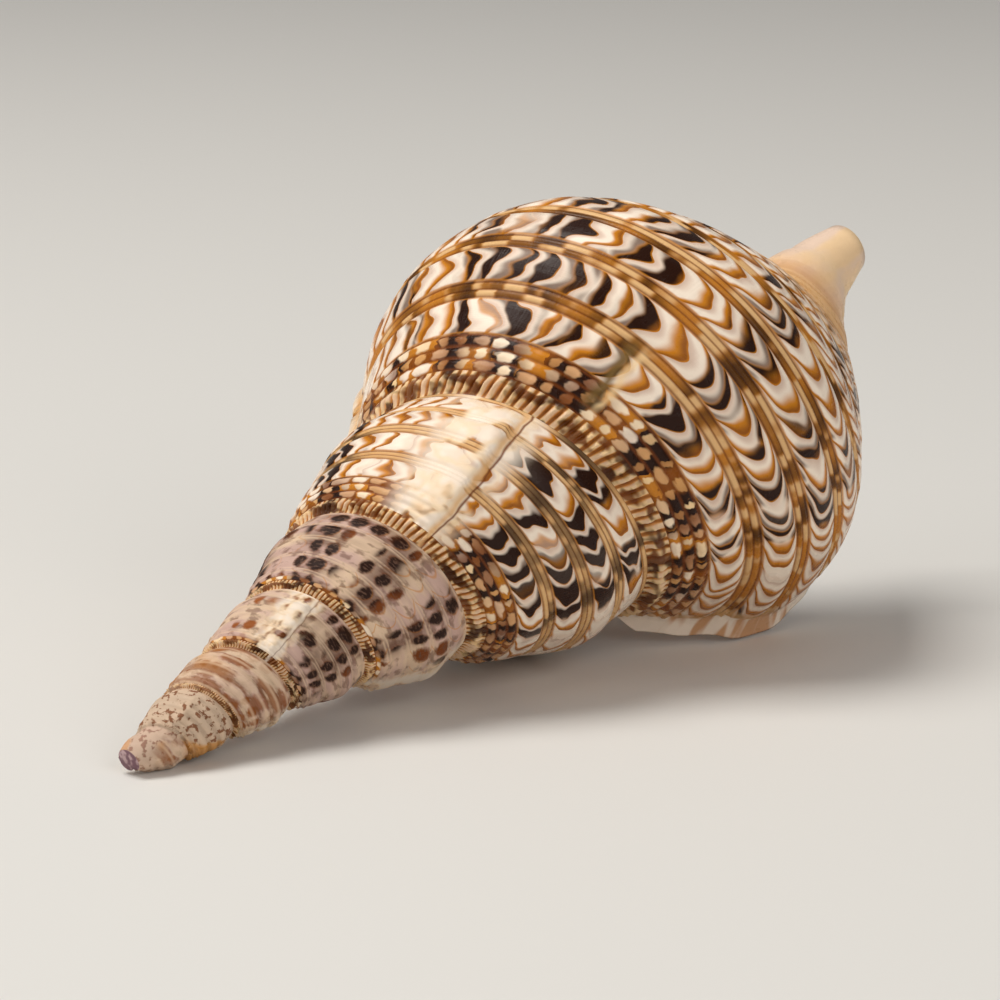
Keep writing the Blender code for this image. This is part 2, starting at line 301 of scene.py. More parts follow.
FINE = fine_distances()
FINE_WHORL = int(np.argmin(np.abs(FINE - WHORL_END)))
PLEAT_EDGE = len(PLEAT_DISTANCES) - 1
CANAL_STEP = np.arange(1, CANAL_FINE_ROWS + 1) / CANAL_FINE_ROWS * CANAL_ROWS
ROW = np.concatenate([np.interp(FINE, SOLID_ROWS, np.arange(len(SOLID_ROWS))), ROOT_ROW + CANAL_STEP])
DISTANCE = np.concatenate([FINE, OUTLINE_LENGTH + CORD_SPACING * CANAL_STEP / 2.0])
FINE_LAST = len(ROW) - 1
COLUMELLA_LENGTH = DISTANCE[-1] - WHORL_END
LIP_TICK = round(LIP_TURN * TICKS)
JOIN_TICK = LIP_TICK - TICKS


def whorl_outline(turn, rows):
    """A whorl of the spire at one turn, from its suture to the next one."""
    upper = suture(turn)
    chord = suture(turn + 1.0) - upper
    out = np.array([-chord[1], chord[0]])
    share = np.interp(rows, np.arange(len(SOLID_ROWS)), SOLID_ROWS) / WHORL_END
    return upper + share[:, None] * chord + curve_through(share, SWELL_PLACES, SWELL)[:, None] * out


def columella_outline(turn, rows):
    """The base and columella where the last turn starts, from the suture to the canal's end."""
    fractions = (rows - WHORL_ROW) / (LAST_ROW - WHORL_ROW)
    shift = suture(turn + 1.0) - suture(LIP_TURN)
    return along_outline(COLUMELLA, fractions) + shift * (1.0 - fractions[:, None])


def canal_outline(start, root, end, shares):
    """The canal from the base to its end, at even shares of the way after the root."""
    neck = root + (end - root) * (NECK_ALONG, NECK_ACROSS)
    line = along_outline((start, root, neck, end), np.linspace(0.0, 1.0, 8 * CANAL_ROWS))
    first = np.linalg.norm(root - start)
    return points_at(line, first + (lengths_along(line)[-1] - first) * shares)


def body_outline(turn, rows):
    """The body whorl at one turn, from its suture to the end of the canal."""
    upper = suture(turn)
    size = growth_at(turn, BODY_GROWTH)
    known = np.arange(len(SOLID_ROWS))
    on_body = rows[rows <= ROOT_ROW]
    fractions = np.interp(np.append(on_body, ROOT_ROW - 1.0), known, SOLID_ROWS) / OUTLINE_LENGTH
    points = upper + along_outline(BODY, fractions) * size
    start = points[-1]
    points = points[:-1]
    progress = turn - (LIP_TURN - 1.0)
    end = np.array([CANAL_END, CANAL_RADIUS[0] + (CANAL_RADIUS[1] - CANAL_RADIUS[0]) * progress])
    shares = (rows[rows > ROOT_ROW] - ROOT_ROW) / CANAL_ROWS
    return np.vstack([points, canal_outline(start, points[-1], end, shares)])


def outline(turn):
    """The strip's outline at one turn, from row 0 to the last row that it has there."""
    whorl = whorl_outline(turn, ROW[: FINE_WHORL + 1])
    if turn < LIP_TURN - 1.0 - 1e-6:
        return whorl
    early = np.vstack([whorl, columella_outline(turn, ROW[FINE_WHORL + 1 :])])
    return early + (body_outline(turn, ROW) - early) * smooth_step(turn, *BODY_STARTS)


def outward(points):
    """Unit normals of an outline, away from the shell's axis."""
    along = np.gradient(points, axis=0)
    out = np.stack([-along[:, 1], along[:, 0]], axis=1)
    return out / np.linalg.norm(out, axis=1)[:, None]


def fade(rows, last, starts, ends):
    """A share for each row that rises from 0 at the first one and falls to 0 at the last one."""
    return np.clip(rows / starts, 0.0, 1.0) * np.clip((last - rows) / ends, 0.0, 1.0)


def shell_axes():
    """The coiling axis, the side of the shell that is up, and its right-hand side."""
    along = np.array((math.cos(AXIS_RISE), 0.0, math.sin(AXIS_RISE)))
    up = np.array((-math.sin(AXIS_RISE), 0.0, math.cos(AXIS_RISE)))
    side = np.array((0.0, -1.0, 0.0))
    top = up * math.cos(ROLL) + side * math.sin(ROLL)
    right = side * math.cos(ROLL) - up * math.sin(ROLL)
    return along, top, right


ALONG, TOP, RIGHT = shell_axes()


def place(points, turns):
    """Outline points set round the axis at the given turns, in metres."""
    angle = 2.0 * np.pi * np.asarray(turns, float)
    bend = np.clip((points[:, 0] - BEND_STARTS) / (CANAL_END - BEND_STARTS), 0.0, None) ** 2
    across = points[:, 1] * np.cos(angle) + CANAL_BEND[0] * bend
    aside = points[:, 1] * np.sin(angle) + CANAL_BEND[1] * bend
    spots = points[:, :1] * ALONG + across[:, None] * TOP + aside[:, None] * RIGHT
    return spots * SHELL_LENGTH + TIP


def point_out(normals, turns):
    """Outline normals as directions in space."""
    angle = 2.0 * np.pi * np.asarray(turns, float)[:, None]
    round_axis = np.cos(angle) * TOP + np.sin(angle) * RIGHT
    return normals[:, :1] * ALONG + normals[:, 1:] * round_axis


def row_turns(turn, rows):
    """The turn of each row: near the lip the rows past the suture stand further back."""
    near = smooth_step(turn, LIP_TURN - SLANT_TURNS, LIP_TURN)
    return turn - LIP_SLANT * near * np.clip(rows / SLANT_ROWS, 0.0, 1.0)


def lip_and_belly(turn, rows):
    """How far the flared lip and the belly's bump stand out, in shell lengths."""
    size = growth_at(turn, RELIEF_GROWTH)
    on_body = len(rows) > FINE_WHORL + 1
    last = LAST_ROW if on_body else WHORL_ROW
    share = fade(rows, last, RIDGE_STARTS, RIDGE_ENDS if on_body else RIDGE_ENDS_ON_SPIRE)
    belly = BELLY_HEIGHT * size * math.exp(-(((turn - BELLY_TURN) / BELLY_WIDTH) ** 2))
    flare = max(turn - LIP_TURN + FLARE_TURNS, 0.0) / FLARE_TURNS
    height = share * (belly + LIP_FLARE * flare**2)
    if on_body:
        height[FINE_WHORL:] *= smooth_step(turn, *BODY_STARTS)
    return height


# The sides that a face can be on: the outside, the chamber's wall, its columella, and its far end.
OUTSIDE, CHAMBER, COLUMELLA_SIDE, CHAMBER_END = range(4)


class Mesh:
    """Points with their outward directions and shares of the relief, and faces between keys."""

    def __init__(self):
        self.points = []
        self.out = []
        self.relief = []
        self.number = {}
        self.faces = []
        self.sides = []

    def add(self, key, point, out=(0.0, 0.0, 0.0), relief=(0.0, 0.0, 0.0)):
        self.number[key] = len(self.points)
        self.points.append(point)
        self.out.append(out)
        self.relief.append(relief)
        return key

    def find(self, key):
        """A point's number. A whorl's last row is the next whorl's first one."""
        if key[1] == FINE_WHORL and isinstance(key[0], int) and key[0] <= JOIN_TICK:
            return self.number[key[0] + TICKS, 0]
        return self.number[key]

    def face(self, keys, side=OUTSIDE):
        """A face of three or more different points."""
        seen = {}
        for key in keys:
            seen.setdefault(self.find(key), key)
        if len(seen) > 2:
            self.faces.append(list(seen.values()))
            self.sides.append(side)

    def strip(self, first, second, side=OUTSIDE):
        """Faces between two rows of as many points."""
        for k in range(len(first) - 1):
            self.face((first[k], first[k + 1], second[k + 1], second[k]), side)


def tick_steps(kind):
    """All ticks at which columns stand: kind 0 near the suture, kind 1 on the whole whorl."""
    ticks = []
    for number, level in enumerate(LEVELS):
        end = LEVELS[number + 1][0] if number + 1 < len(LEVELS) else LIP_TICK
        ticks += range(level[0], end, level[1 + kind])
    return ticks + [LIP_TICK]


NEAR_TICKS = tick_steps(0)
WHOLE_TICKS = tick_steps(1)


def rows_at(tick):
    """The rows that a column has, down to the next suture or the canal's end."""
    last = FINE_LAST if tick >= JOIN_TICK else FINE_WHORL
    if tick >= THIN_TICK:
        return list(range(last + 1))
    return list(range(PLEAT_EDGE + 1)) + list(range(last, PLEAT_EDGE + 1, -2))[::-1]


def add_column(mesh, tick, rows):
    """The points of one column, with what the relief needs at each of them."""
    turn = tick / TICKS
    points = outline(turn)
    coordinates = ROW[: len(points)]
    normals = outward(points)
    points = points + normals * lip_and_belly(turn, coordinates)[:, None]
    turns = row_turns(turn, coordinates)
    spots = place(points, turns)
    out = point_out(normals, turns)
    size = growth_at(turn, RELIEF_GROWTH)
    on_body = tick > JOIN_TICK
    last = LAST_ROW if on_body else WHORL_ROW
    ridge = fade(coordinates, last, RIDGE_STARTS, RIDGE_ENDS if on_body else RIDGE_ENDS_ON_SPIRE)
    cover = np.clip((last - coordinates) / COVER_ENDS, 0.0, 1.0)
    if on_body:
        grown = smooth_step(turn, *BODY_STARTS)
        cover[FINE_WHORL:] *= grown
        ridge[FINE_WHORL:] *= grown
    for row in rows:
        if row == FINE_WHORL and tick <= JOIN_TICK:
            continue
        mesh.add((tick, row), spots[row], out[row], (size, cover[row], ridge[row]))


def add_whorls(mesh):
    """The strip from the tip to the lip. Near the suture its columns stand closer together."""
    whole = set(WHOLE_TICKS)
    for tick in NEAR_TICKS:
        add_column(mesh, tick, rows_at(tick) if tick in whole else range(PLEAT_EDGE + 1))
    for near, far in zip(NEAR_TICKS, NEAR_TICKS[1:]):
        rows = range(PLEAT_EDGE + 1)
        mesh.strip([(near, row) for row in rows], [(far, row) for row in rows])
    for near, far in zip(WHOLE_TICKS, WHOLE_TICKS[1:]):
        add_whorl_faces(mesh, near, far)


def line_of(mesh, row, near, far):
    """The points along one row from one column to the next, with those of a finer neighbour."""
    if row == PLEAT_EDGE:
        return [(tick, row) for tick in range(near, far + 1) if (tick, row) in mesh.number]
    if row == FINE_WHORL and near < JOIN_TICK:
        return [(tick, row) for tick in range(near, far + 1) if (tick + TICKS, 0) in mesh.number]
    return [(near, row), (far, row)]


def add_whorl_faces(mesh, near, far):
    """Faces between two columns, below the rows near the suture."""
    shared = [row for row in rows_at(near) if row >= PLEAT_EDGE]
    between = rows_at(far)
    for upper, lower in zip(shared, shared[1:]):
        corners = line_of(mesh, upper, near, far)
        corners += [(far, row) for row in between if upper < row < lower]
        corners += line_of(mesh, lower, near, far)[::-1]
        mesh.face(corners)


def add_tip(mesh):
    """The faces that close the strip's start. The tip's cut takes most of them away."""
    start = NEAR_TICKS[0]
    rim = [(tick, 0) for tick in NEAR_TICKS if tick < start + TICKS]
    rim += [(start, row) for row in rows_at(start)[:0:-1]]
    mesh.face(rim)


def cord_count(distance):
    """Counts the broad cords from the suture down. A whole number is a cord's middle."""
    return (distance - FIRST_CORD) / CORD_SPACING


def small_cord_count(distance):
    return (distance - PLEAT_END) / SMALL_CORD_WIDTH


def inset(outer, inner, size, depth, reaches_end):
    """The outer wall's inner face, moved in by the wall, and towards the middle at the suture."""
    to_middle = np.vstack([outer, inner]).mean(axis=0) - outer
    to_middle /= np.linalg.norm(to_middle, axis=1)[:, None]
    share = smooth_step(lengths_along(outer), 0.0, WALL_STARTS)[:, None]
    way = to_middle + (-outward(outer) - to_middle) * share
    way /= np.linalg.norm(way, axis=1)[:, None]
    thinning = CANAL_THINNING * smooth_step(outer[:, 0], CANAL_THINS_FROM, CANAL_END)
    wall = WALL * size**WALL_GROWTH * (1.0 - thinning) * (1.0 + teeth(depth))
    moved = outer + way * wall[:, None]
    if reaches_end:
        moved[-1, 0] = outer[-1, 0]
    return moved


def teeth(depth):
    """Pairs of short ridges inside the lip, one pair behind each gap between two cords."""
    place_in_gap = np.abs(np.mod(cord_count(DISTANCE), 1.0) - 0.5)
    pair = np.exp(-(((place_in_gap - TOOTH_PLACE) / TOOTH_HALF_WIDTH) ** 2))
    shown = fade(ROW, ROOT_ROW, RIDGE_STARTS, RIDGE_STARTS)
    near = math.exp(-(((depth - TOOTH_DEPTH) / TOOTH_REACH) ** 2))
    return TOOTH_HEIGHT * pair * shown * near


def folds(shares, depth):
    """Ridges that run in along the columella, at these shares of its length."""
    ridges = np.sin(2.0 * np.pi * (FOLDS * shares + FOLD_SLANT * depth))
    shown = smooth_step(shares, *FOLDS_START) * (1.0 - smooth_step(shares, *FOLDS_STOP))
    return FOLD_HEIGHT * ridges * shown


def chamber_section(depth, reaches_end):
    """The chamber's edge at one depth behind the lip: its outer wall, then its columella side."""
    turn = LIP_TURN - depth
    start = suture(turn)
    lip = suture(LIP_TURN)
    size = start[1] / lip[1]
    shrunk = start[0] + (CANAL_END - lip[0]) * size
    end = CANAL_END + (shrunk - CANAL_END) * smooth_step(depth, OPEN_UNTIL, SHRUNK_FROM)
    wall = outline(turn)
    reach = np.interp(end, wall[:, 0], lengths_along(wall))
    lip_lengths = lengths_along(outline(LIP_TURN))
    outer = points_at(wall, lip_lengths / lip_lengths[-1] * reach)
    fractions = (ROW[FINE_WHORL:] - WHORL_ROW) / (LAST_ROW - WHORL_ROW)
    inner = along_outline(COLUMELLA, fractions)
    shares = (DISTANCE[FINE_WHORL:] - WHORL_END) / COLUMELLA_LENGTH
    inner += outward(inner) * folds(shares, depth)[:, None]
    inner -= lip
    inner *= ((end - start[0]) / (CANAL_END - lip[0]), size)
    inner += start
    return inset(outer, inner, size, depth, reaches_end), inner[1:]


def add_flange(mesh):
    """The lip's flared edge, which fades out at the suture and at the canal's end."""
    points = outline(LIP_TURN)
    normals = outward(points)
    wall = points + normals * lip_and_belly(LIP_TURN, ROW)[:, None]
    share = fade(ROW, LAST_ROW, FLANGE_STARTS, FLANGE_ENDS)
    scallops = 1.0 + FLANGE_WAVE * np.cos(2.0 * np.pi * (DISTANCE - FIRST_CORD) / CORD_SPACING)
    edge = [(LIP_TICK, row) for row in range(FINE_LAST + 1)]
    for number, (turns, reach) in enumerate(FLANGE):
        flared = wall + normals * (reach * share * (scallops if reach > 0.0 else 1.0))[:, None]
        spots = place(flared, row_turns(LIP_TURN, ROW) + turns * share)
        name = "flange_%d" % number
        new_edge = [edge[0]]
        new_edge += [mesh.add((name, row), spots[row]) for row in range(1, FINE_LAST)]
        new_edge += [edge[-1]]
        mesh.strip(edge, new_edge)
        edge = new_edge
    return edge


def add_section(mesh, number, depth):
    """One section of the chamber: the keys of its outer wall and of its columella side."""
    wall, columella = chamber_section(depth, depth <= OPEN_UNTIL)
    spots = place(wall, row_turns(LIP_TURN - depth, ROW))
    outer = [mesh.add(("chamber_%d" % number, row), spot) for row, spot in enumerate(spots)]
    spots = place(columella, np.full(len(columella), LIP_TURN - depth))
    rows = range(FINE_WHORL + 1, FINE_LAST + 1)
    inner = [mesh.add(("columella_%d" % number, row), spot) for row, spot in zip(rows, spots)]
    return outer, inner


def add_bridge(mesh, number, outer, inner):
    """The points that close a section at its far end, from the outer wall to the columella."""
    first, last = [mesh.points[mesh.find(key)] for key in (outer[-1], inner[-1])]
    bridge = [outer[-1]]
    for step in range(1, BRIDGE_POINTS + 1):
        spot = first + (last - first) * step / (BRIDGE_POINTS + 1)
        bridge.append(mesh.add(("bridge_%d" % number, step), spot))
    return bridge + [inner[-1]]


def close_chamber(mesh, number, cap):
    """The faces of the chamber's far end, round its middle."""
    middle = np.mean([mesh.points[mesh.find(key)] for key in cap], axis=0)
    centre = mesh.add(("cap_%d" % number, 0), middle)
    for first, second in zip(cap, cap[1:] + cap[:1]):
        mesh.face((centre, first, second), CHAMBER_END)


def close_canal_end(mesh, rim):
    """The flat rim of the canal's end, which the chamber opens through."""
    corners = [Vector(mesh.points[mesh.find(key)]) for key in rim]
    for triangle in tessellate_polygon([corners]):
        mesh.face([rim[k] for k in triangle])


def add_chamber(mesh, outer):
    """The chamber, section by section, from the lip to its far end."""
    inner = [(JOIN_TICK, row) for row in range(FINE_WHORL + 1, FINE_LAST + 1)]
    rim = [(tick, FINE_LAST) for tick in WHOLE_TICKS if tick >= JOIN_TICK]
    notch = []
    bridge = []
    for number, depth in enumerate(SECTIONS):
        new_outer, new_inner = add_section(mesh, number, depth)
        mesh.strip(outer, new_outer, CHAMBER)
        mesh.strip([new_outer[0]] + new_inner, [outer[0]] + inner, COLUMELLA_SIDE)
        if depth <= OPEN_UNTIL:
            rim.append(new_outer[-1])
            notch.append(new_inner[-1])
        if depth >= OPEN_UNTIL:
            new_bridge = add_bridge(mesh, number, new_outer, new_inner)
            if bridge:
                mesh.strip(bridge, new_bridge, CHAMBER_END)
            else:
                rim += new_bridge[1:-1] + notch[::-1]
            bridge = new_bridge
        outer, inner = new_outer, new_inner
    close_chamber(mesh, number, outer + bridge[1:-1] + inner[::-1])
    close_canal_end(mesh, rim)


def depth_behind_lip(column):
    """How far behind the lip, in turns, a column of the chamber stands."""
    if isinstance(column, int) or column.startswith("flange"):
        return 0.0
    return SECTIONS[int(column.split("_")[1])]


def corner_place(key, side):
    """A corner's turn and distance from the suture. Inside, the turn is the depth behind the lip."""
    column, row = key
    if side == CHAMBER:
        return depth_behind_lip(column), DISTANCE[row]
    if side == COLUMELLA_SIDE:
        return depth_behind_lip(column), COLUMELLA_SHIFT + DISTANCE[max(row, FINE_WHORL)]
    if side == CHAMBER_END:
        return depth_behind_lip(column), END_PLACE
    if isinstance(column, int):
        return column / TICKS, DISTANCE[row]
    if column.startswith("flange"):
        return LIP_TURN + FLANGE[int(column.split("_")[1])][0], DISTANCE[row]
    return 0.0, DISTANCE[-1]


def to_blender(mesh, name):
    """The mesh in Blender, with its UV map and point attributes."""
    corners = [(key, side) for face, side in zip(mesh.faces, mesh.sides) for key in face]
    data = bpy.data.meshes.new(name)
    numbers = [[mesh.find(key) for key in face] for face in mesh.faces]
    data.from_pydata([tuple(point) for point in mesh.points], [], numbers)
    spiral = data.uv_layers.new(name="spiral")
    places = np.array([corner_place(key, side) for key, side in corners], np.float32)
    spiral.uv.foreach_set("vector", places.ravel())
    spots = [corner_place(key, OUTSIDE) + (0.0,) for key in mesh.number]
    for title, values in (("place", spots), ("out", mesh.out), ("relief", mesh.relief)):
        attribute = data.attributes.new(title, "FLOAT_VECTOR", "POINT")
        attribute.data.foreach_set("vector", np.array(values, np.float32).ravel())
    slots = np.where(np.array(mesh.sides) == OUTSIDE, OUTSIDE_SLOT, INSIDE_SLOT)
    data.polygons.foreach_set("material_index", slots.astype(np.int32))
    return data


def cut_tip(data):
    """The tip is broken off flat, and its face has a material of its own."""
    work = bmesh.new()
    work.from_mesh(data)
    everything = work.verts[:] + work.edges[:] + work.faces[:]
    bmesh.ops.bisect_plane(work, geom=everything, plane_co=TIP, plane_no=ALONG, clear_inner=True)
    rim = [edge for edge in work.edges if edge.is_boundary]
    for face in bmesh.ops.holes_fill(work, edges=rim, sides=0)["faces"]:
        face.material_index = TIP_SLOT
    bmesh.ops.recalc_face_normals(work, faces=work.faces[:])
    work.to_mesh(data)
    work.free()


class Term:
    """A number in a node tree. Sums and products of terms become math nodes."""

    def __init__(self, tree, socket):
        self.tree = tree
        self.socket = socket

    def __add__(self, other):
        return calc("ADD", self, other)

    __radd__ = __add__

    def __mul__(self, other):
        return calc("MULTIPLY", self, other)

    __rmul__ = __mul__

    def __sub__(self, other):
        return calc("SUBTRACT", self, other)

    def __rsub__(self, other):
        return calc("SUBTRACT", other, self)

    def __truediv__(self, other):
        return calc("DIVIDE", self, other)

    def __pow__(self, other):
        return calc("POWER", self, other)

    def __gt__(self, other):
        return calc("GREATER_THAN", self, other)

    def __lt__(self, other):
        return calc("LESS_THAN", self, other)


def put(tree, slot, value):
    """A term is linked to the socket, and any other value is written into it."""
    if isinstance(value, Term):
        tree.links.new(value.socket, slot)
    else:
        slot.default_value = value


def calc(operation, *values):
    tree = next(value.tree for value in values if isinstance(value, Term))
    node = tree.nodes.new("ShaderNodeMath")
    node.operation = operation
    for slot, value in zip(node.inputs, values):
        put(tree, slot, value)
    return Term(tree, node.outputs[0])


def fract(value):
    return calc("FRACT", value)


def floor(value):
    return calc("FLOOR", value)


def size_of(value):
    return calc("ABSOLUTE", value)


def larger(first, second):
    return calc("MAXIMUM", first, second)


def smaller(first, second):
    return calc("MINIMUM", first, second)


def rise(value, low, high):
    """0 below low, 1 above high and smooth between them. It falls where low is above high."""
    node = value.tree.nodes.new("ShaderNodeMapRange")
    node.interpolation_type = "SMOOTHSTEP"
    put(value.tree, node.inputs[0], value)
    put(value.tree, node.inputs[1], low)
    put(value.tree, node.inputs[2], high)
    return Term(value.tree, node.outputs[0])


def bump_at(value, centre, half_width):
    """1 at the centre, and smoothly down to 0 a half width away."""
    return rise(size_of(value - centre), half_width, 0.0)


def wave(value):
    """A cosine with one period from one whole number to the next."""
    return calc("COSINE", value * (2.0 * math.pi))


def vector(x, y, z=0.0):
    tree = x.tree
    node = tree.nodes.new("ShaderNodeCombineXYZ")
    for slot, value in zip(node.inputs, (x, y, z)):
        put(tree, slot, value)
    return Term(tree, node.outputs[0])


def parts(value):
    node = value.tree.nodes.new("ShaderNodeSeparateXYZ")
    put(value.tree, node.inputs[0], value)
    return [Term(value.tree, slot) for slot in node.outputs]


def noise(place_at, scale, detail=2.0):
    """Smooth noise, from 0 to 1 and mostly near 0.5."""
    node = place_at.tree.nodes.new("ShaderNodeTexNoise")
    put(place_at.tree, node.inputs["Vector"], place_at)
    node.inputs["Scale"].default_value = scale
    node.inputs["Detail"].default_value = detail
    return Term(place_at.tree, node.outputs[0])


def cloud(x, y, detail=2.0):
    """Smooth noise over two numbers."""
    return noise(vector(x, y), 1.0, detail)


def chance(place_at):
    """Three random numbers for each whole place."""
    node = place_at.tree.nodes.new("ShaderNodeTexWhiteNoise")
    put(place_at.tree, node.inputs["Vector"], place_at)
    return parts(Term(place_at.tree, node.outputs["Color"]))


def group_tree(name, kind, inputs, outputs):
    """A new node group with its named sockets, and the terms of its inputs."""
    tree = bpy.data.node_groups.new(name, kind)
    for title, socket_kind, value in inputs:
        socket = tree.interface.new_socket(title, in_out="INPUT", socket_type=socket_kind)
        if value is not None:
            socket.default_value = value
    for title, socket_kind in outputs:
        tree.interface.new_socket(title, in_out="OUTPUT", socket_type=socket_kind)
    start = tree.nodes.new("NodeGroupInput")
    terms = {title: Term(tree, start.outputs[title]) for title, _, _ in inputs}
    return tree, terms


RELIEF_INPUTS = (
    ("Cord Height", CORD_HEIGHT),
    ("Riblet Height", RIBLET_HEIGHT),
    ("Small Cord Height", SMALL_CORD_HEIGHT),
    ("Pleat Height", PLEAT_HEIGHT),
    ("Pleats In Turn", PLEATS_IN_TURN),
    ("Varix Height", VARIX_HEIGHT),
    ("Unevenness", UNEVENNESS),
)


def named_vector(tree, name):
    node = tree.nodes.new("GeometryNodeInputNamedAttribute")
    node.data_type = "FLOAT_VECTOR"
    node.inputs["Name"].default_value = name
    return Term(tree, node.outputs["Attribute"])


def relief_tree(materials):
    """Geometry nodes that raise the cords, riblets, pleats and varices along the spiral."""
    inputs = [("Geometry", "NodeSocketGeometry", None)]
    inputs += [(title, "NodeSocketFloat", value) for title, value in RELIEF_INPUTS]
    outputs = [("Geometry", "NodeSocketGeometry")]
    tree, given = group_tree("shell relief", "GeometryNodeTree", inputs, outputs)
    turn, distance, _ = parts(named_vector(tree, "place"))
    size, cover, ridge = parts(named_vector(tree, "relief"))
    gain = 1.0 + OLD_GAIN * rise(turn, *OLD_GAIN_FROM)
    height = size * cover * spiral_relief(given, turn, distance) * gain
    height = height + size * ridge * given["Varix Height"] * varix(turn, distance)
    spot = Term(tree, tree.nodes.new("GeometryNodeInputPosition").outputs[0])
    height = height + cover * given["Unevenness"] * (noise(spot, 60.0, 3.0) - 0.5) * 2.0
    move = tree.nodes.new("ShaderNodeVectorMath")
    move.operation = "SCALE"
    put(tree, move.inputs[0], named_vector(tree, "out"))
    put(tree, move.inputs["Scale"], height)
    moved = tree.nodes.new("GeometryNodeSetPosition")
    put(tree, moved.inputs["Geometry"], given["Geometry"])
    tree.links.new(move.outputs[0], moved.inputs["Offset"])
    smooth = tree.nodes.new("GeometryNodeSetShadeSmooth")
    tree.links.new(moved.outputs[0], smooth.inputs["Geometry"])
    last = tree.nodes.new("GeometryNodeRealizeInstances")
    tree.links.new(smooth.outputs[0], last.inputs["Geometry"])
    index = Term(tree, tree.nodes.new("GeometryNodeInputMaterialIndex").outputs[0])
    for number, material in enumerate(materials):
        painted = tree.nodes.new("GeometryNodeSetMaterial")
        painted.inputs["Material"].default_value = material
        put(tree, painted.inputs["Selection"], calc("COMPARE", index, number, 0.5))
        tree.links.new(last.outputs[0], painted.inputs["Geometry"])
        last = painted
    end = tree.nodes.new("NodeGroupOutput")
    tree.links.new(last.outputs[0], end.inputs["Geometry"])
    return tree


def pleat_count(turn, distance, in_turn):
    """Counts the pleats along the suture. They are a little uneven."""
    return turn * in_turn + 0.8 * cloud(turn * 30.0, distance * 20.0, 1.0)


def spiral_relief(given, turn, distance):
    """Broad cords with two riblets between them, three small cords, and pleats at the suture."""
    from_centre = size_of(fract(cord_count(distance) + 0.5) - 0.5) * 2.0
    cord = rise(from_centre, *CORD_FLANK) * (1.0 - 0.25 * from_centre * from_centre) - 0.5
    riblet = bump_at(from_centre, RIBLET_PLACE, RIBLET_HALF_WIDTH)
    broad = given["Cord Height"] * cord + given["Riblet Height"] * riblet
    below = rise(distance, *SMALL_CORDS_END)
    small_place = small_cord_count(distance)
    beads = 0.75 + 0.25 * wave(growth_phase(turn) + 0.25 * floor(small_place))
    small = given["Small Cord Height"] * bump_at(fract(small_place), 0.5, 0.5) * beads
    count = pleat_count(turn, distance, given["Pleats In Turn"])
    across = bump_at(distance, PLEAT_MIDDLE, PLEAT_MIDDLE)
    pleat = given["Pleat Height"] * (0.35 + 0.65 * wave(count)) * across
    in_pleats = distance < PLEAT_END
    return below * broad + (1.0 - below) * (in_pleats * pleat + (1.0 - in_pleats) * small)


def grown_turn(turn, distance):
    """The turn at the suture of the growth line through a place. Growth lines slant as the lip does."""
    return turn + LIP_SLANT / WHORL_END * smaller(distance, WHORL_END)


def past_crack(turn, distance):
    """How many turns a place lies past the crack in front of the nearest old lip."""
    old_lips = (grown_turn(turn, distance) - LAST_CRACK) / VARIX_SPACING
    return (fract(old_lips + 0.5) - 0.5) * VARIX_SPACING


def varix(turn, distance):
    """An old lip: a slow rise and a steep front. The newest one is the lip itself."""
    past = past_crack(turn, distance) - VARIX_CREST
    share = past / (VARIX_WIDTH + (past > 0.0) * (VARIX_FRONT - VARIX_WIDTH))
    return calc("EXPONENT", share * share * -1.0) * (turn < 0.1)


MARKS_IN_TURN = 43.0
MARKS_GROWTH = 0.23


def growth_phase(turn):
    """Counts the marks along a band from the tip on. They get closer together in the last turns."""
    return (MARKS_IN_TURN / MARKS_GROWTH) * calc("EXPONENT", turn * MARKS_GROWTH)


def make_shell(materials):
    """The whole shell, with the relief from its node tree."""
    mesh = Mesh()
    add_whorls(mesh)
    add_tip(mesh)
    add_chamber(mesh, add_flange(mesh))
    data = to_blender(mesh, "triton_shell")
    cut_tip(data)
    for material in materials:
        data.materials.append(material)
    base = bpy.data.objects.new("shell_base", data)
    bpy.context.scene.collection.objects.link(base)
    modifier = base.modifiers.new("relief", "NODES")
    modifier.node_group = relief_tree(materials)
    for socket in modifier.node_group.interface.items_tree:
        if socket.name in dict(RELIEF_INPUTS) and socket.in_out == "INPUT":
            modifier[socket.identifier] = dict(RELIEF_INPUTS)[socket.name]
    evaluated = base.evaluated_get(bpy.context.evaluated_depsgraph_get())
    final = bpy.data.meshes.new_from_object(evaluated)
    final.name = "triton_shell"
    bpy.data.objects.remove(base)
    for title in ("place", "out", "relief"):
        final.attributes.remove(final.attributes[title])
    shell = bpy.data.objects.new("triton_shell", final)
    bpy.context.scene.collection.objects.link(shell)
    return shell


def paint(red, green, blue):
    """A colour given as on a screen, as the numbers that light uses."""
    shares = [value / 255.0 for value in (red, green, blue)]
    return tuple(s / 12.92 if s <= 0.04045 else ((s + 0.055) / 1.055) ** 2.4 for s in shares) + (1.0,)


def blend_colour(first, second, share):
    """The second colour over the first one, by a share from 0 to 1."""
    tree = share.tree
    node = tree.nodes.new("ShaderNodeMix")
    node.data_type = "RGBA"
    put(tree, node.inputs["Factor"], share)
    put(tree, node.inputs[6], first)
    put(tree, node.inputs[7], second)
    return Term(tree, node.outputs[2])


def spiral_place(tree):
    """The two numbers that the UV map "spiral" holds."""
    node = tree.nodes.new("ShaderNodeUVMap")
    node.uv_map = "spiral"
    turn, distance, _ = parts(Term(tree, node.outputs[0]))
    return turn, distance


def object_place(tree):
    return Term(tree, tree.nodes.new("ShaderNodeTexCoord").outputs["Object"])


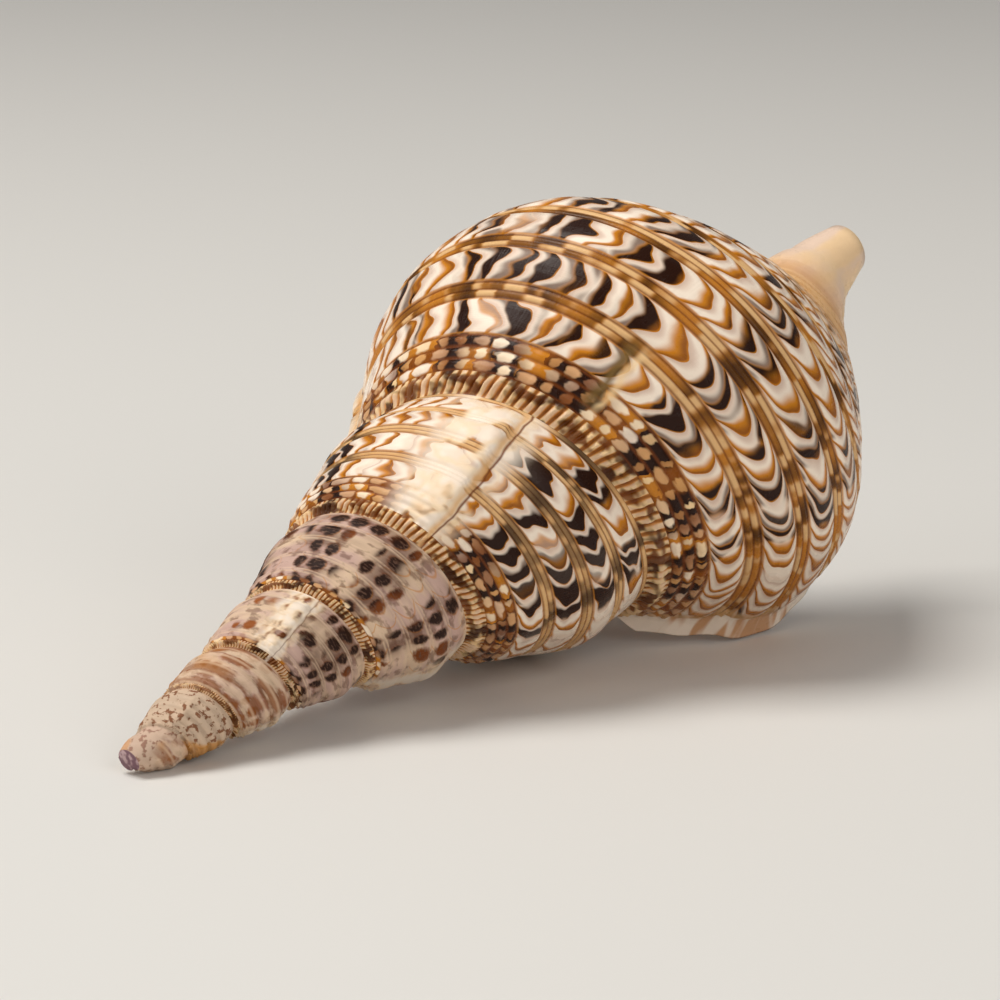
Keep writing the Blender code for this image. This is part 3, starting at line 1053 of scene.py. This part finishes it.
WHITE = paint(252, 235, 216)
LILAC = paint(220, 192, 172)
CREAM = paint(246, 210, 156)
GOLD = paint(204, 128, 28)
TAN = paint(196, 126, 44)
BROWN = paint(122, 60, 14)
DARK = paint(40, 15, 3)
GREY = paint(104, 74, 58)
ROSE = paint(206, 172, 158)
OLD_CREAM = paint(226, 196, 166)
CHALK = paint(196, 174, 154)
PEACH = paint(236, 188, 132)
PALE_PINK = paint(236, 208, 186)
# Painted shade in the healed break's step.
SCAR_SHADE_OLIVE = paint(120, 92, 48)
LIP_BROWN = paint(74, 38, 22)
LIP_CREAM = paint(246, 230, 208)
SALMON = paint(236, 176, 116)
DEEP_ORANGE = paint(222, 142, 74)
DUSK = paint(112, 80, 68)
MOTTLE = paint(104, 64, 46)
RUST = paint(160, 88, 36)
SMEAR = paint(146, 84, 40)
WORN_ORANGE = paint(214, 150, 70)
BROKEN_DARK = paint(122, 86, 96)
BROKEN_PALE = paint(190, 160, 160)
PALE_FLOOR = paint(226, 224, 220)

# The turns over which the look of the older whorls sets in, and where the base's and canal's does.
PALER_TURNS = (-0.35, -0.55)
OVAL_TURNS = (-1.08, -1.32)
OLD_LIP_TURNS = (-1.5, -2.0)
RUST_TURNS = (-2.82, -2.95)
SMEAR_TURNS = (-3.0, -3.35)
CHALK_TURNS = (-3.7, -4.6)
TIP_TURNS = (-5.2, -6.2)
MARKS_END = 0.375
CANAL_COLOUR = (0.52, 0.59)
GLAZE_ENDS = (0.60, 0.55)

# The bands' half width, the turns of a healed break's painted shade and painted highlight lines, and the
# gap between two flames.
BAND_EDGE = 0.68
SCAR_SHADE_TURN = 0.147
SCAR_HIGHLIGHT_TURN = 0.157
FLAME_GAP = 0.172

# The turns at which dark flames cross the whorls, and their half widths.
FLAMES = (
    (-2.88, 0.035),
    (-2.72, 0.06),
    (-2.10, 0.04),
    (-1.95, 0.045),
    (-1.82, 0.03),
    (-1.70, 0.03),
    (-1.03, 0.03),
    (-0.78, 0.045),
    (-0.65, 0.025),
    (-0.07, 0.015),
    (0.00, 0.02),
    (0.06, 0.025),
    (0.13, 0.03),
    (0.21, 0.025),
    (0.29, 0.025),
    (0.345, 0.02),
)


def marks_at(turn, distance):
    """Where a place lies in the marks: its count along the whorl, its cord, and how far across it."""
    phase = growth_phase(turn)
    cord_place = cord_count(distance)
    cord = floor(cord_place + 0.5)
    across = (cord_place - cord) * 2.0
    return phase, cord_place, cord, across


def flames(turn, distance):
    """Dark flames from suture to suture: some at stated turns, and some anywhere."""
    phase = growth_phase(turn)
    swirl = cloud(turn * 12.0, distance * 18.0) - 0.5
    grown = grown_turn(turn, distance) + 0.05 * swirl
    anywhere = cloud(phase * 0.17, distance * 4.5, 1.5)
    total = 0.7 * rise(anywhere, 0.52, 0.60)
    for centre, half_width in FLAMES:
        total = larger(total, bump_at(grown, centre, half_width * 1.6))
    return total * (1.0 - 0.8 * bump_at(grown, FLAME_GAP, 0.03))


def crescent_colour(along, edge, dark, lot, merge):
    """One crescent: white behind, then golden, and in a dark one grey and nearly black."""
    thick = 1.0 - 0.62 * smaller(edge * edge, 1.0)
    colour = blend_colour(LILAC, WHITE, rise(along, 0.0, 0.35))
    colour = blend_colour(colour, GREY, rise(along, 0.12, 0.5) * dark * 0.85)
    halo = rise(along, 1.0 - (0.52 + 0.38 * lot) * thick, 1.0 - 0.30 * thick)
    colour = blend_colour(colour, GOLD, halo)
    colour = blend_colour(colour, BROWN, rise(along, 1.0 - 0.34 * thick, 1.0 - 0.08 * thick) * 0.75)
    dark_from = 1.0 - thick * (0.42 + 0.42 * lot) - 0.30 * merge
    colour = blend_colour(colour, DARK, rise(along, dark_from, dark_from + 0.17) * dark)
    return blend_colour(colour, GOLD, rise(along, 0.93, 0.985) * 0.75)


def paler(turn):
    """The whorl before the last has more white in it."""
    return rise(turn, *PALER_TURNS)


def band_colour(turn, distance, flame):
    """Rows of crescents on the broad bands, each open towards the tip."""
    phase, cord_place, cord, across = marks_at(turn, distance)
    edge = size_of(across / BAND_EDGE)
    curl = 0.35 + 0.95 * rise(turn, 0.0, 0.30) + 0.55 * bump_at(turn, -0.62, 0.3)
    wobble = cloud(phase * 0.33, cord_place * 1.1, 1.0) - 0.5
    ripple = cloud(phase * 0.8, cord_place * 3.6 + 3.0, 0.0) - 0.5
    bowed = smaller(edge**2.3, 1.6)
    front = phase + curl * bowed + 2.2 * wobble + (0.8 - 0.4 * rise(turn, 0.0, 0.2)) * ripple
    cell = floor(front)
    lot, second, third = chance(vector(cell, cord, 3.0))
    dark = rise(0.5 * flame + 0.62 * lot, 0.56, 0.72)
    pale = paler(turn)
    colour = crescent_colour(fract(front), edge, dark, second, flame * pale)
    blank = (third < 0.08 + 0.30 * pale) * (1.0 - flame) * (1.0 - 0.9 * dark)
    colour = blend_colour(colour, WHITE, blank * rise(edge, 1.0, 0.7) * 0.85)
    return blend_colour(colour, GOLD, bump_at(edge, 0.98, 0.10) * 0.8)


def gap_colour(turn, distance, flame):
    """The riblets between the bands: golden, with pale and dark blocks and brown grooves."""
    phase, cord_place, _, across = marks_at(turn, distance)
    riblet = floor(cord_place)
    side = across > 0.0
    blocks = cloud(phase * 0.8 + 0.5 * side, riblet * 5.3 + side * 0.8, 1.0)
    colour = blend_colour(TAN, CREAM, larger(rise(blocks, 0.49, 0.58) * 0.65, paler(turn) * 0.5))
    place_across = size_of(across)
    groove = larger(bump_at(place_across, 0.72, 0.10), bump_at(place_across, 1.0, 0.07))
    colour = blend_colour(colour, BROWN, groove * 0.75)
    return blend_colour(colour, DARK, flame * rise(blocks, 0.56, 0.46) * 0.85)


def small_cord_colour(turn, distance, flame):
    """Small cords below the pleats: rows of pale beads, golden-brown between them."""
    phase = growth_phase(turn)
    small_place = small_cord_count(distance)
    number = floor(small_place)
    wobble = cloud(phase * 0.5, number * 3.1, 1.0) - 0.5
    uneven = cloud(phase * 2.2, small_place * 2.0, 1.0) - 0.5
    front = phase + 0.3 * number + 1.8 * wobble + 0.5 * uneven
    lot, second, third = chance(vector(floor(front), number, 11.0))
    along = (fract(front) - 0.42) / (0.20 + 0.24 * second)
    across = (fract(small_place + 0.5 * uneven) - 0.5) / 0.46
    bead = rise(along * along + across * across, 1.4, 0.5)
    dark = rise(0.75 * flame + 0.5 * lot, 0.50, 0.70)
    between = blend_colour(TAN, GOLD, third)
    between = blend_colour(between, BROWN, rise(lot, 0.2, 0.7) * 0.85)
    between = blend_colour(between, DARK, dark)
    pale = blend_colour(CREAM, WHITE, second)
    pale = blend_colour(pale, TAN, rise(lot, 0.45, 0.6) * 0.7)
    pale = blend_colour(pale, BROWN, flame * rise(third, 0.30, 0.55) * 0.9)
    groove = bump_at(fract(small_place + 0.5), 0.5, 0.25)
    return blend_colour(blend_colour(between, pale, bead), BROWN, groove * 0.65)


def pleat_colour(turn, distance, flame):
    """The pleats at the suture: cream with brown grooves and brown patches."""
    phase = growth_phase(turn)
    patch = cloud(phase * 0.9, distance * 50.0)
    crest = wave(pleat_count(turn, distance, PLEATS_IN_TURN))
    colour = blend_colour(CREAM, ROSE, rise(patch, 0.5, 0.4) * 0.5)
    colour = blend_colour(colour, GOLD, rise(crest, 0.3, -0.5) * 0.85)
    colour = blend_colour(colour, BROWN, rise(crest, -0.3, -0.9) * 0.7)
    colour = blend_colour(colour, BROWN, rise(patch, 0.46, 0.58) * 0.9)
    return blend_colour(colour, DARK, flame * rise(patch, 0.42, 0.55) * 0.8)


def oval_colour(turn, distance, flame):
    """The older whorls: separate brown ovals on a pinkish ground, with pale lines along the cords."""
    phase, cord_place, cord, across = marks_at(turn, distance)
    front = phase + 1.6 * (cloud(phase * 0.4, cord * 2.0, 1.0) - 0.5)
    lot, second, third = chance(vector(floor(front), cord, 5.0))
    uneven = cloud(phase * 1.6, cord_place * 3.0) - 0.5
    ahead = (fract(front) - 0.5) / (0.32 + 0.14 * second) + 0.5 * uneven
    aside = across * 1.25 + 0.5 * uneven
    fleck = cloud(phase * 3.0, cord_place * 8.0, 3.0)
    oval = rise(ahead * ahead + aside * aside + 0.9 * (fleck - 0.5), 1.5, 0.35)
    shown = rise(0.5 * flame + 0.62 * lot, 0.36, 0.54)
    clouds = cloud(phase * 0.25, cord_place * 0.9, 3.0)
    ground = blend_colour(ROSE, OLD_CREAM, rise(clouds, 0.42, 0.6))
    ground = blend_colour(ground, DUSK, flame * rise(clouds, 0.30, 0.58) * 0.85)
    line = bump_at(size_of(across), 0.85, 0.16)
    ground = blend_colour(ground, OLD_CREAM, line * 0.6)
    rim = bump_at(fract(front + 0.7 * across * across), 0.90, 0.10) * rise(turn, -2.3, -1.8)
    ground = blend_colour(ground, GOLD, rim * (second > 0.45) * 0.55)
    mottle = cloud(phase * 1.1, cord_place * 2.4 + 9.0, 4.0)
    ground = blend_colour(ground, MOTTLE, rise(mottle, 0.50, 0.64) * 0.6)
    spot = blend_colour(BROWN, DARK, rise(oval, 0.35, 0.95) * rise(third + flame, 0.3, 0.9))
    spot = blend_colour(spot, GREY, rise(fleck, 0.50, 0.66) * 0.8)
    spot = blend_colour(spot, RUST, rise(turn, *RUST_TURNS) * 0.85)
    return blend_colour(ground, spot, oval * shown)


def smear_colour(turn, distance, colour):
    """Still older whorls: golden-brown smears and pale streaks over the marks."""
    phase, cord_place, _, across = marks_at(turn, distance)
    smear = cloud(phase * 0.42, cord_place * 0.9 + 4.0, 4.0)
    colour = blend_colour(colour, OLD_CREAM, 0.8 * rise(smear, 0.52, 0.42))
    colour = blend_colour(colour, SMEAR, 0.9 * rise(smear, 0.45, 0.57))
    streak = bump_at(size_of(across), 0.0, 0.40)
    return blend_colour(colour, OLD_CREAM, streak * 0.6)


def old_lip_colour(turn, distance, colour):
    """The smooth white swelling of an old lip, the brown crack in front of it, and a band on the old
    lip's side of the crack: painted shadow in peach on the newer old lips, the old lip's own white on
    the older whorls.
    """
    waver = cloud(turn * 40.0, distance * 22.0) - 0.5
    past = past_crack(turn, distance) + 0.012 * waver + (turn > 0.1)
    patch = cloud(turn * 25.0, distance * 16.0)
    swelling = rise(past, -0.105, -0.05) * rise(past, 0.035, 0.0)
    shown = swelling * (distance > 0.022) * rise(patch, 0.62, 0.50)
    smooth_white = blend_colour(WHITE, CREAM, rise(patch, 0.42, 0.56) * 0.6)
    colour = blend_colour(colour, smooth_white, shown * 0.95)
    # A band beside the crack: painted shadow in peach on the newer old lips, turning to the old lip's
    # own white on the older whorls.
    ridge = bump_at(past, -0.004, 0.007)
    older = rise(turn, *OLD_LIP_TURNS)
    colour = blend_colour(colour, blend_colour(PEACH, WHITE, older), ridge * 0.8)
    return blend_colour(colour, BROWN, bump_at(past, 0.0015, 0.0028) * (0.9 - 0.4 * older))


def lip_colour(turn, distance, colour):
    """The newest shell at the lip: golden, then the pale flange with brown cross-bands."""
    golden = rise(turn, LIP_TURN - 0.014, LIP_TURN - 0.003)
    streaks = blend_colour(TAN, CREAM, cloud(turn * 150.0, distance * 30.0))
    colour = blend_colour(colour, streaks, golden * 0.75)
    cross = cloud(distance * 42.0, turn * 20.0)
    flange = blend_colour(WHITE, TAN, rise(cross, 0.50, 0.60) * 0.75)
    return blend_colour(colour, flange, turn > LIP_TURN + 0.0005)


def base_colour(turn, distance, colour):
    """The base turns golden with uneven rings and faint marks, and the canal is pale pink and cream."""
    rings = cloud(turn * 3.0, distance * 70.0)
    neck = blend_colour(PEACH, TAN, rise(rings, 0.40, 0.60) * 0.6)
    streaks = cloud(turn * 22.0 + distance * 20.0, distance * 12.0, 3.0)
    neck = blend_colour(neck, BROWN, rise(streaks, 0.52, 0.66) * rise(distance, 0.53, 0.44) * 0.55)
    marks_end = MARKS_END + 0.03 * rise(turn, 0.25, 0.35)
    faint = 0.30 * rise(distance, 0.50, 0.43)
    colour = blend_colour(colour, neck, rise(distance - marks_end, 0.0, 0.035) * (0.97 - faint))
    clouds = cloud(turn * 5.0, distance * 9.0, 3.0)
    canal = blend_colour(PALE_PINK, CREAM, rise(clouds, 0.4, 0.6) * 0.7)
    return blend_colour(colour, canal, rise(distance, *CANAL_COLOUR))


def worn_colour(turn, spot, colour):
    """The oldest whorls are chalky, with brown pits and a few orange patches."""
    pits = noise(spot, 620.0, 3.0)
    chalk = rise(turn, *CHALK_TURNS)
    worn = blend_colour(CHALK, OLD_CREAM, noise(spot, 120.0, 2.0))
    worn = blend_colour(worn, BROWN, rise(pits, 0.54, 0.62) * 0.85)
    orange = rise(noise(spot, 75.0, 1.0), 0.60, 0.66)
    worn = blend_colour(worn, WORN_ORANGE, orange * 0.8)
    worn = blend_colour(worn, ROSE, rise(turn, *TIP_TURNS) * 0.4)
    return blend_colour(colour, worn, chalk * rise(noise(spot, 60.0, 3.0), 0.30, 0.48)), chalk * pits


def scar_colour(turn, distance, colour):
    """A healed break on the last whorl's shoulder: an olive line of painted shade in its step and a
    cream line of painted highlight along its edge.
    """
    waver = cloud(turn * 60.0, distance * 40.0) - 0.5
    grown = grown_turn(turn, distance) + 0.012 * waver
    reach = rise(distance, 0.030, 0.045) * rise(distance, 0.125, 0.10)
    # Painted shade: an olive line in the healed break's step.
    colour = blend_colour(colour, SCAR_SHADE_OLIVE, bump_at(grown, SCAR_SHADE_TURN, 0.010) * reach * 0.9)
    # Painted highlight: a cream line along the break's edge.
    return blend_colour(colour, CREAM, bump_at(grown, SCAR_HIGHLIGHT_TURN, 0.006) * reach * 0.7)


def outside_colour(turn, distance):
    """The outside's markings, zone by zone."""
    flame = flames(turn, distance)
    _, _, _, across = marks_at(turn, distance)
    gap = rise(size_of(across), 0.62, 0.72)
    colour = blend_colour(band_colour(turn, distance, flame), gap_colour(turn, distance, flame), gap)
    colour = blend_colour(colour, small_cord_colour(turn, distance, flame), rise(distance, 0.065, 0.061))
    older = rise(turn, *OVAL_TURNS)
    ovals = oval_colour(turn, distance, flame)
    colour = blend_colour(colour, ovals, older * rise(distance, 0.030, 0.040))
    smears = smear_colour(turn, distance, colour)
    colour = blend_colour(colour, smears, rise(turn, *SMEAR_TURNS) * 0.9)
    colour = blend_colour(colour, pleat_colour(turn, distance, flame), distance < PLEAT_END)
    colour = old_lip_colour(turn, distance, colour)
    colour = scar_colour(turn, distance, colour)
    colour = base_colour(turn, distance, colour)
    return lip_colour(turn, distance, colour)


def ridge_group():
    """Shader nodes that say where the columella's pale ridges are, from a distance and a depth."""
    inputs = [("Distance", "NodeSocketFloat", 0.0), ("Depth", "NodeSocketFloat", 0.0)]
    outputs = [("Ridge", "NodeSocketFloat")]
    tree, given = group_tree("columella ridges", "ShaderNodeTree", inputs, outputs)
    share = (given["Distance"] - WHORL_END) / COLUMELLA_LENGTH
    waver = cloud(share * 9.0, given["Depth"] * 14.0, 1.0) - 0.5
    crest = wave(FOLDS * share + FOLD_SLANT * given["Depth"] - 0.25 + 0.35 * waver)
    end = tree.nodes.new("NodeGroupOutput")
    put(tree, end.inputs["Ridge"], rise(crest, -0.35, 0.35))
    return tree


def ridge_colour(ridges, distance, depth):
    """Dark brown, with the pale ridges."""
    node = distance.tree.nodes.new("ShaderNodeGroup")
    node.node_tree = ridges
    put(distance.tree, node.inputs["Distance"], distance)
    put(distance.tree, node.inputs["Depth"], depth)
    return blend_colour(LIP_BROWN, LIP_CREAM, Term(distance.tree, node.outputs["Ridge"]))


def inner_lip_colour(ridges, turn, distance, colour):
    """The glazed rim in front of the opening, on the columella's side."""
    ahead = turn - (LIP_TURN - 1.0)
    waver = cloud(turn * 30.0, distance * 30.0) - 0.5
    width = 0.040 + 0.11 * rise(distance, 0.34, 0.50) + 0.03 * waver
    across = ahead / width
    on_rim = (distance > WHORL_END - 0.004) * (ahead > -0.001) * rise(across, 1.0, 0.75)
    glaze = blend_colour(LIP_CREAM, SALMON, rise(across, 0.55, 0.80) * 0.6)
    ridged = ridge_colour(ridges, distance, ahead * -1.0)
    glaze = blend_colour(ridged, glaze, rise(across, 0.40, 0.65))
    return blend_colour(colour, glaze, on_rim * rise(distance, *GLAZE_ENDS))


SHINE = 0.17
GRAIN_STRENGTH = 0.35
GRAIN_HEIGHT = 0.0004
TIP_ROUGHNESS = 0.7
FLOOR_ROUGHNESS = 0.6


def new_material(name):
    """A new material, its node tree and its shader."""
    material = bpy.data.materials.new(name)
    material.use_nodes = True
    tree = material.node_tree
    return material, tree, tree.nodes["Principled BSDF"]


def outside_material(ridges):
    """Glossy on the last whorls and duller towards the tip, with fine growth and spiral lines."""
    material, tree, shader = new_material("shell_outside")
    turn, distance = spiral_place(tree)
    spot = object_place(tree)
    colour = inner_lip_colour(ridges, turn, distance, outside_colour(turn, distance))
    colour, wear = worn_colour(turn, spot, colour)
    tree.links.new(colour.socket, shader.inputs["Base Color"])
    rough = 0.22 + 0.16 * rise(turn, -1.0, -2.2) + 0.34 * rise(turn, -2.6, -3.8)
    rough = rough + 0.12 * noise(spot, 300.0, 3.0)
    tree.links.new(rough.socket, shader.inputs["Roughness"])
    shader.inputs["Specular IOR Level"].default_value = SHINE
    growth_lines = cloud(turn * 700.0, distance * 25.0, 3.0)
    spiral_lines = cloud(turn * 25.0, distance * 1300.0)
    grain = growth_lines + 0.6 * spiral_lines + 4.0 * wear
    bump = tree.nodes.new("ShaderNodeBump")
    bump.inputs["Strength"].default_value = GRAIN_STRENGTH
    bump.inputs["Distance"].default_value = GRAIN_HEIGHT
    tree.links.new(grain.socket, bump.inputs["Height"])
    tree.links.new(bump.outputs[0], shader.inputs["Normal"])
    return material


def inside_material(ridges):
    """Pale at the lip, with brown patches between the teeth, and orange further in."""
    material, tree, shader = new_material("shell_inside")
    depth, distance = spiral_place(tree)
    colour = blend_colour(LIP_CREAM, SALMON, rise(depth, 0.03, 0.12))
    colour = blend_colour(colour, DEEP_ORANGE, rise(depth, 0.10, 0.35))
    pair = size_of(fract(cord_count(distance)) - 0.5)
    patch = rise(pair, 0.36, 0.29) * rise(depth, 0.040, 0.030) * rise(distance, 0.53, 0.50)
    tooth = bump_at(pair, TOOTH_PLACE, 0.10) * rise(depth, 0.001, 0.005)
    colour = blend_colour(colour, LIP_BROWN, patch * (1.0 - tooth))
    on_columella = (distance > COLUMELLA_SHIFT) * rise(depth, 0.42, 0.20)
    down = distance - COLUMELLA_SHIFT
    on_columella = on_columella * rise(down, *GLAZE_ENDS)
    colour = blend_colour(colour, ridge_colour(ridges, down, depth), on_columella)
    tree.links.new(colour.socket, shader.inputs["Base Color"])
    rough = 0.18 + 0.1 * noise(object_place(tree), 200.0, 2.0)
    tree.links.new(rough.socket, shader.inputs["Roughness"])
    return material


def tip_material():
    """The rough broken face."""
    material, tree, shader = new_material("shell_broken_tip")
    patches = noise(object_place(tree), 500.0, 4.0)
    colour = blend_colour(BROKEN_DARK, BROKEN_PALE, rise(patches, 0.45, 0.65))
    tree.links.new(colour.socket, shader.inputs["Base Color"])
    shader.inputs["Roughness"].default_value = TIP_ROUGHNESS
    return material


def floor_material():
    material, _, shader = new_material("pale_floor")
    shader.inputs["Base Color"].default_value = PALE_FLOOR
    shader.inputs["Roughness"].default_value = FLOOR_ROUGHNESS
    return material


FLOOR_SIZE = 12.0


def make_floor():
    bpy.ops.mesh.primitive_plane_add(size=FLOOR_SIZE, location=(0.0, 0.0, 0.0))
    floor_piece = bpy.context.object
    floor_piece.name = "floor"
    floor_piece.data.materials.append(floor_material())


# The lights' places, sizes, powers and colours, the place that they are aimed at, and the room's light.
LIGHTS = {
    "key": ((-0.7, 0.8, 2.5), 1.2, 54.0, (1.0, 0.97, 0.92)),
    "front": ((-0.6, -2.6, 1.6), 1.8, 26.0, (1.0, 0.98, 0.95)),
    "left": ((-2.6, 0.9, 1.0), 1.6, 17.0, (1.0, 1.0, 1.0)),
}
LIT_PLACE = (0.0, 0.0, 0.06)
ROOM_COLOUR = (0.84, 0.82, 0.80, 1.0)
ROOM_STRENGTH = 0.25


def make_light(name, spot, size, power, colour):
    lamp = bpy.data.lights.new(name, "AREA")
    lamp.size = size
    lamp.energy = power
    lamp.color = colour
    holder = bpy.data.objects.new(name, lamp)
    holder.location = spot
    direction = Vector(LIT_PLACE) - holder.location
    holder.rotation_euler = direction.to_track_quat("-Z", "Y").to_euler()
    bpy.context.scene.collection.objects.link(holder)


def make_room_light():
    world = bpy.data.worlds.new("studio")
    world.use_nodes = True
    background = world.node_tree.nodes["Background"]
    background.inputs["Color"].default_value = ROOM_COLOUR
    background.inputs["Strength"].default_value = ROOM_STRENGTH
    bpy.context.scene.world = world
    bpy.context.scene.view_settings.view_transform = "Standard"


# The camera, where the photo's view puts it: its place, its view and its right-hand side.
CAMERA_PLACE = (-0.8307, -0.7306, 0.3159)
CAMERA_VIEW = (0.72933, 0.64314, -0.23335)
CAMERA_RIGHT = (0.66371, -0.74787, 0.01322)
LENS = 144.0
SENSOR = 36.0


def make_camera():
    camera = bpy.data.cameras.new("camera")
    camera.lens = LENS
    camera.sensor_width = SENSOR
    camera.sensor_fit = "HORIZONTAL"
    holder = bpy.data.objects.new("camera", camera)
    bpy.context.scene.collection.objects.link(holder)
    view = Vector(CAMERA_VIEW).normalized()
    right = Vector(CAMERA_RIGHT).normalized()
    up = right.cross(view)
    turned = Matrix((right, up, -view)).transposed()
    holder.matrix_world = Matrix.Translation(CAMERA_PLACE) @ turned.to_4x4()
    bpy.context.scene.camera = holder


make_camera()
for title, light in LIGHTS.items():
    make_light(title, *light)
make_room_light()
make_floor()
ridges = ridge_group()
shell = make_shell((outside_material(ridges), inside_material(ridges), tip_material()))
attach(shell, "root")
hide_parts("shell")
